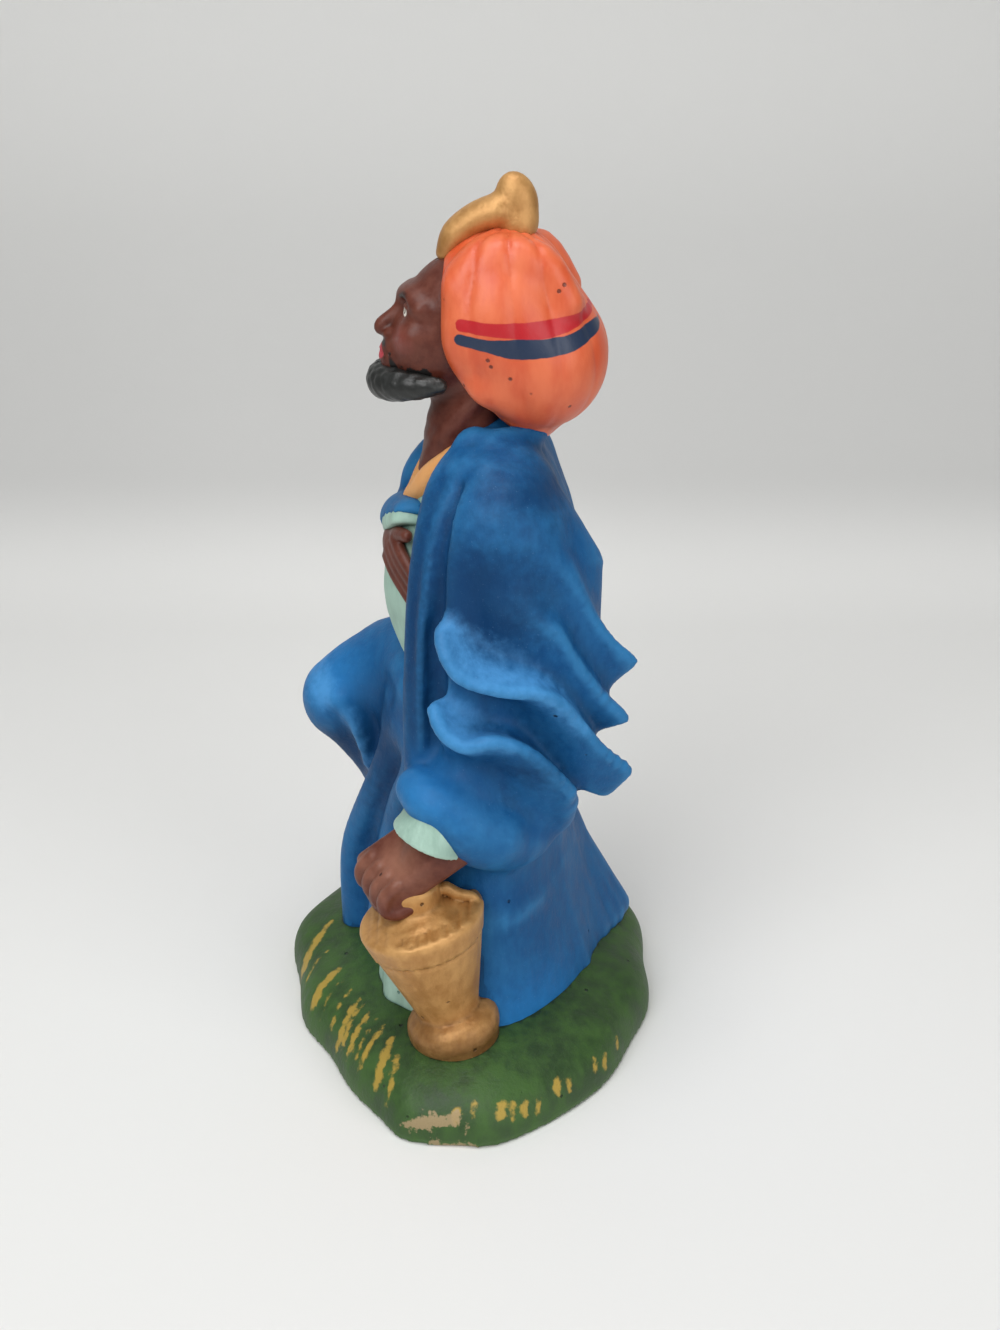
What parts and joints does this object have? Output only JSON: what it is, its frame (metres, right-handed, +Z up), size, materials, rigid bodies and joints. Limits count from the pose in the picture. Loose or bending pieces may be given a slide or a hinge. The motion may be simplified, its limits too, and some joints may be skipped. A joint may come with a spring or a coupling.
{
  "type": "nativity wise man figurine",
  "caption": "Kneeling nativity wise man in painted cast plaster: plumed turban, wide mantle, one hand on his breast and one on a lidded goblet, on a grassy base.",
  "frame": {"origin": "middle of the base's flat underside", "axes": "+Z up, -Y the way he faces, +X his left side, where the goblet stands"},
  "size_m": [0.0716, 0.0584, 0.1296],
  "materials": {
    "painted_plaster": "hand-painted cast plaster with a satin varnish: mostly blue, with mint, orange, brown, gold and green"
  },
  "bodies": {
    "root": {"kneeling_wise_man": "painted_plaster"}
  },
  "joints": []
}
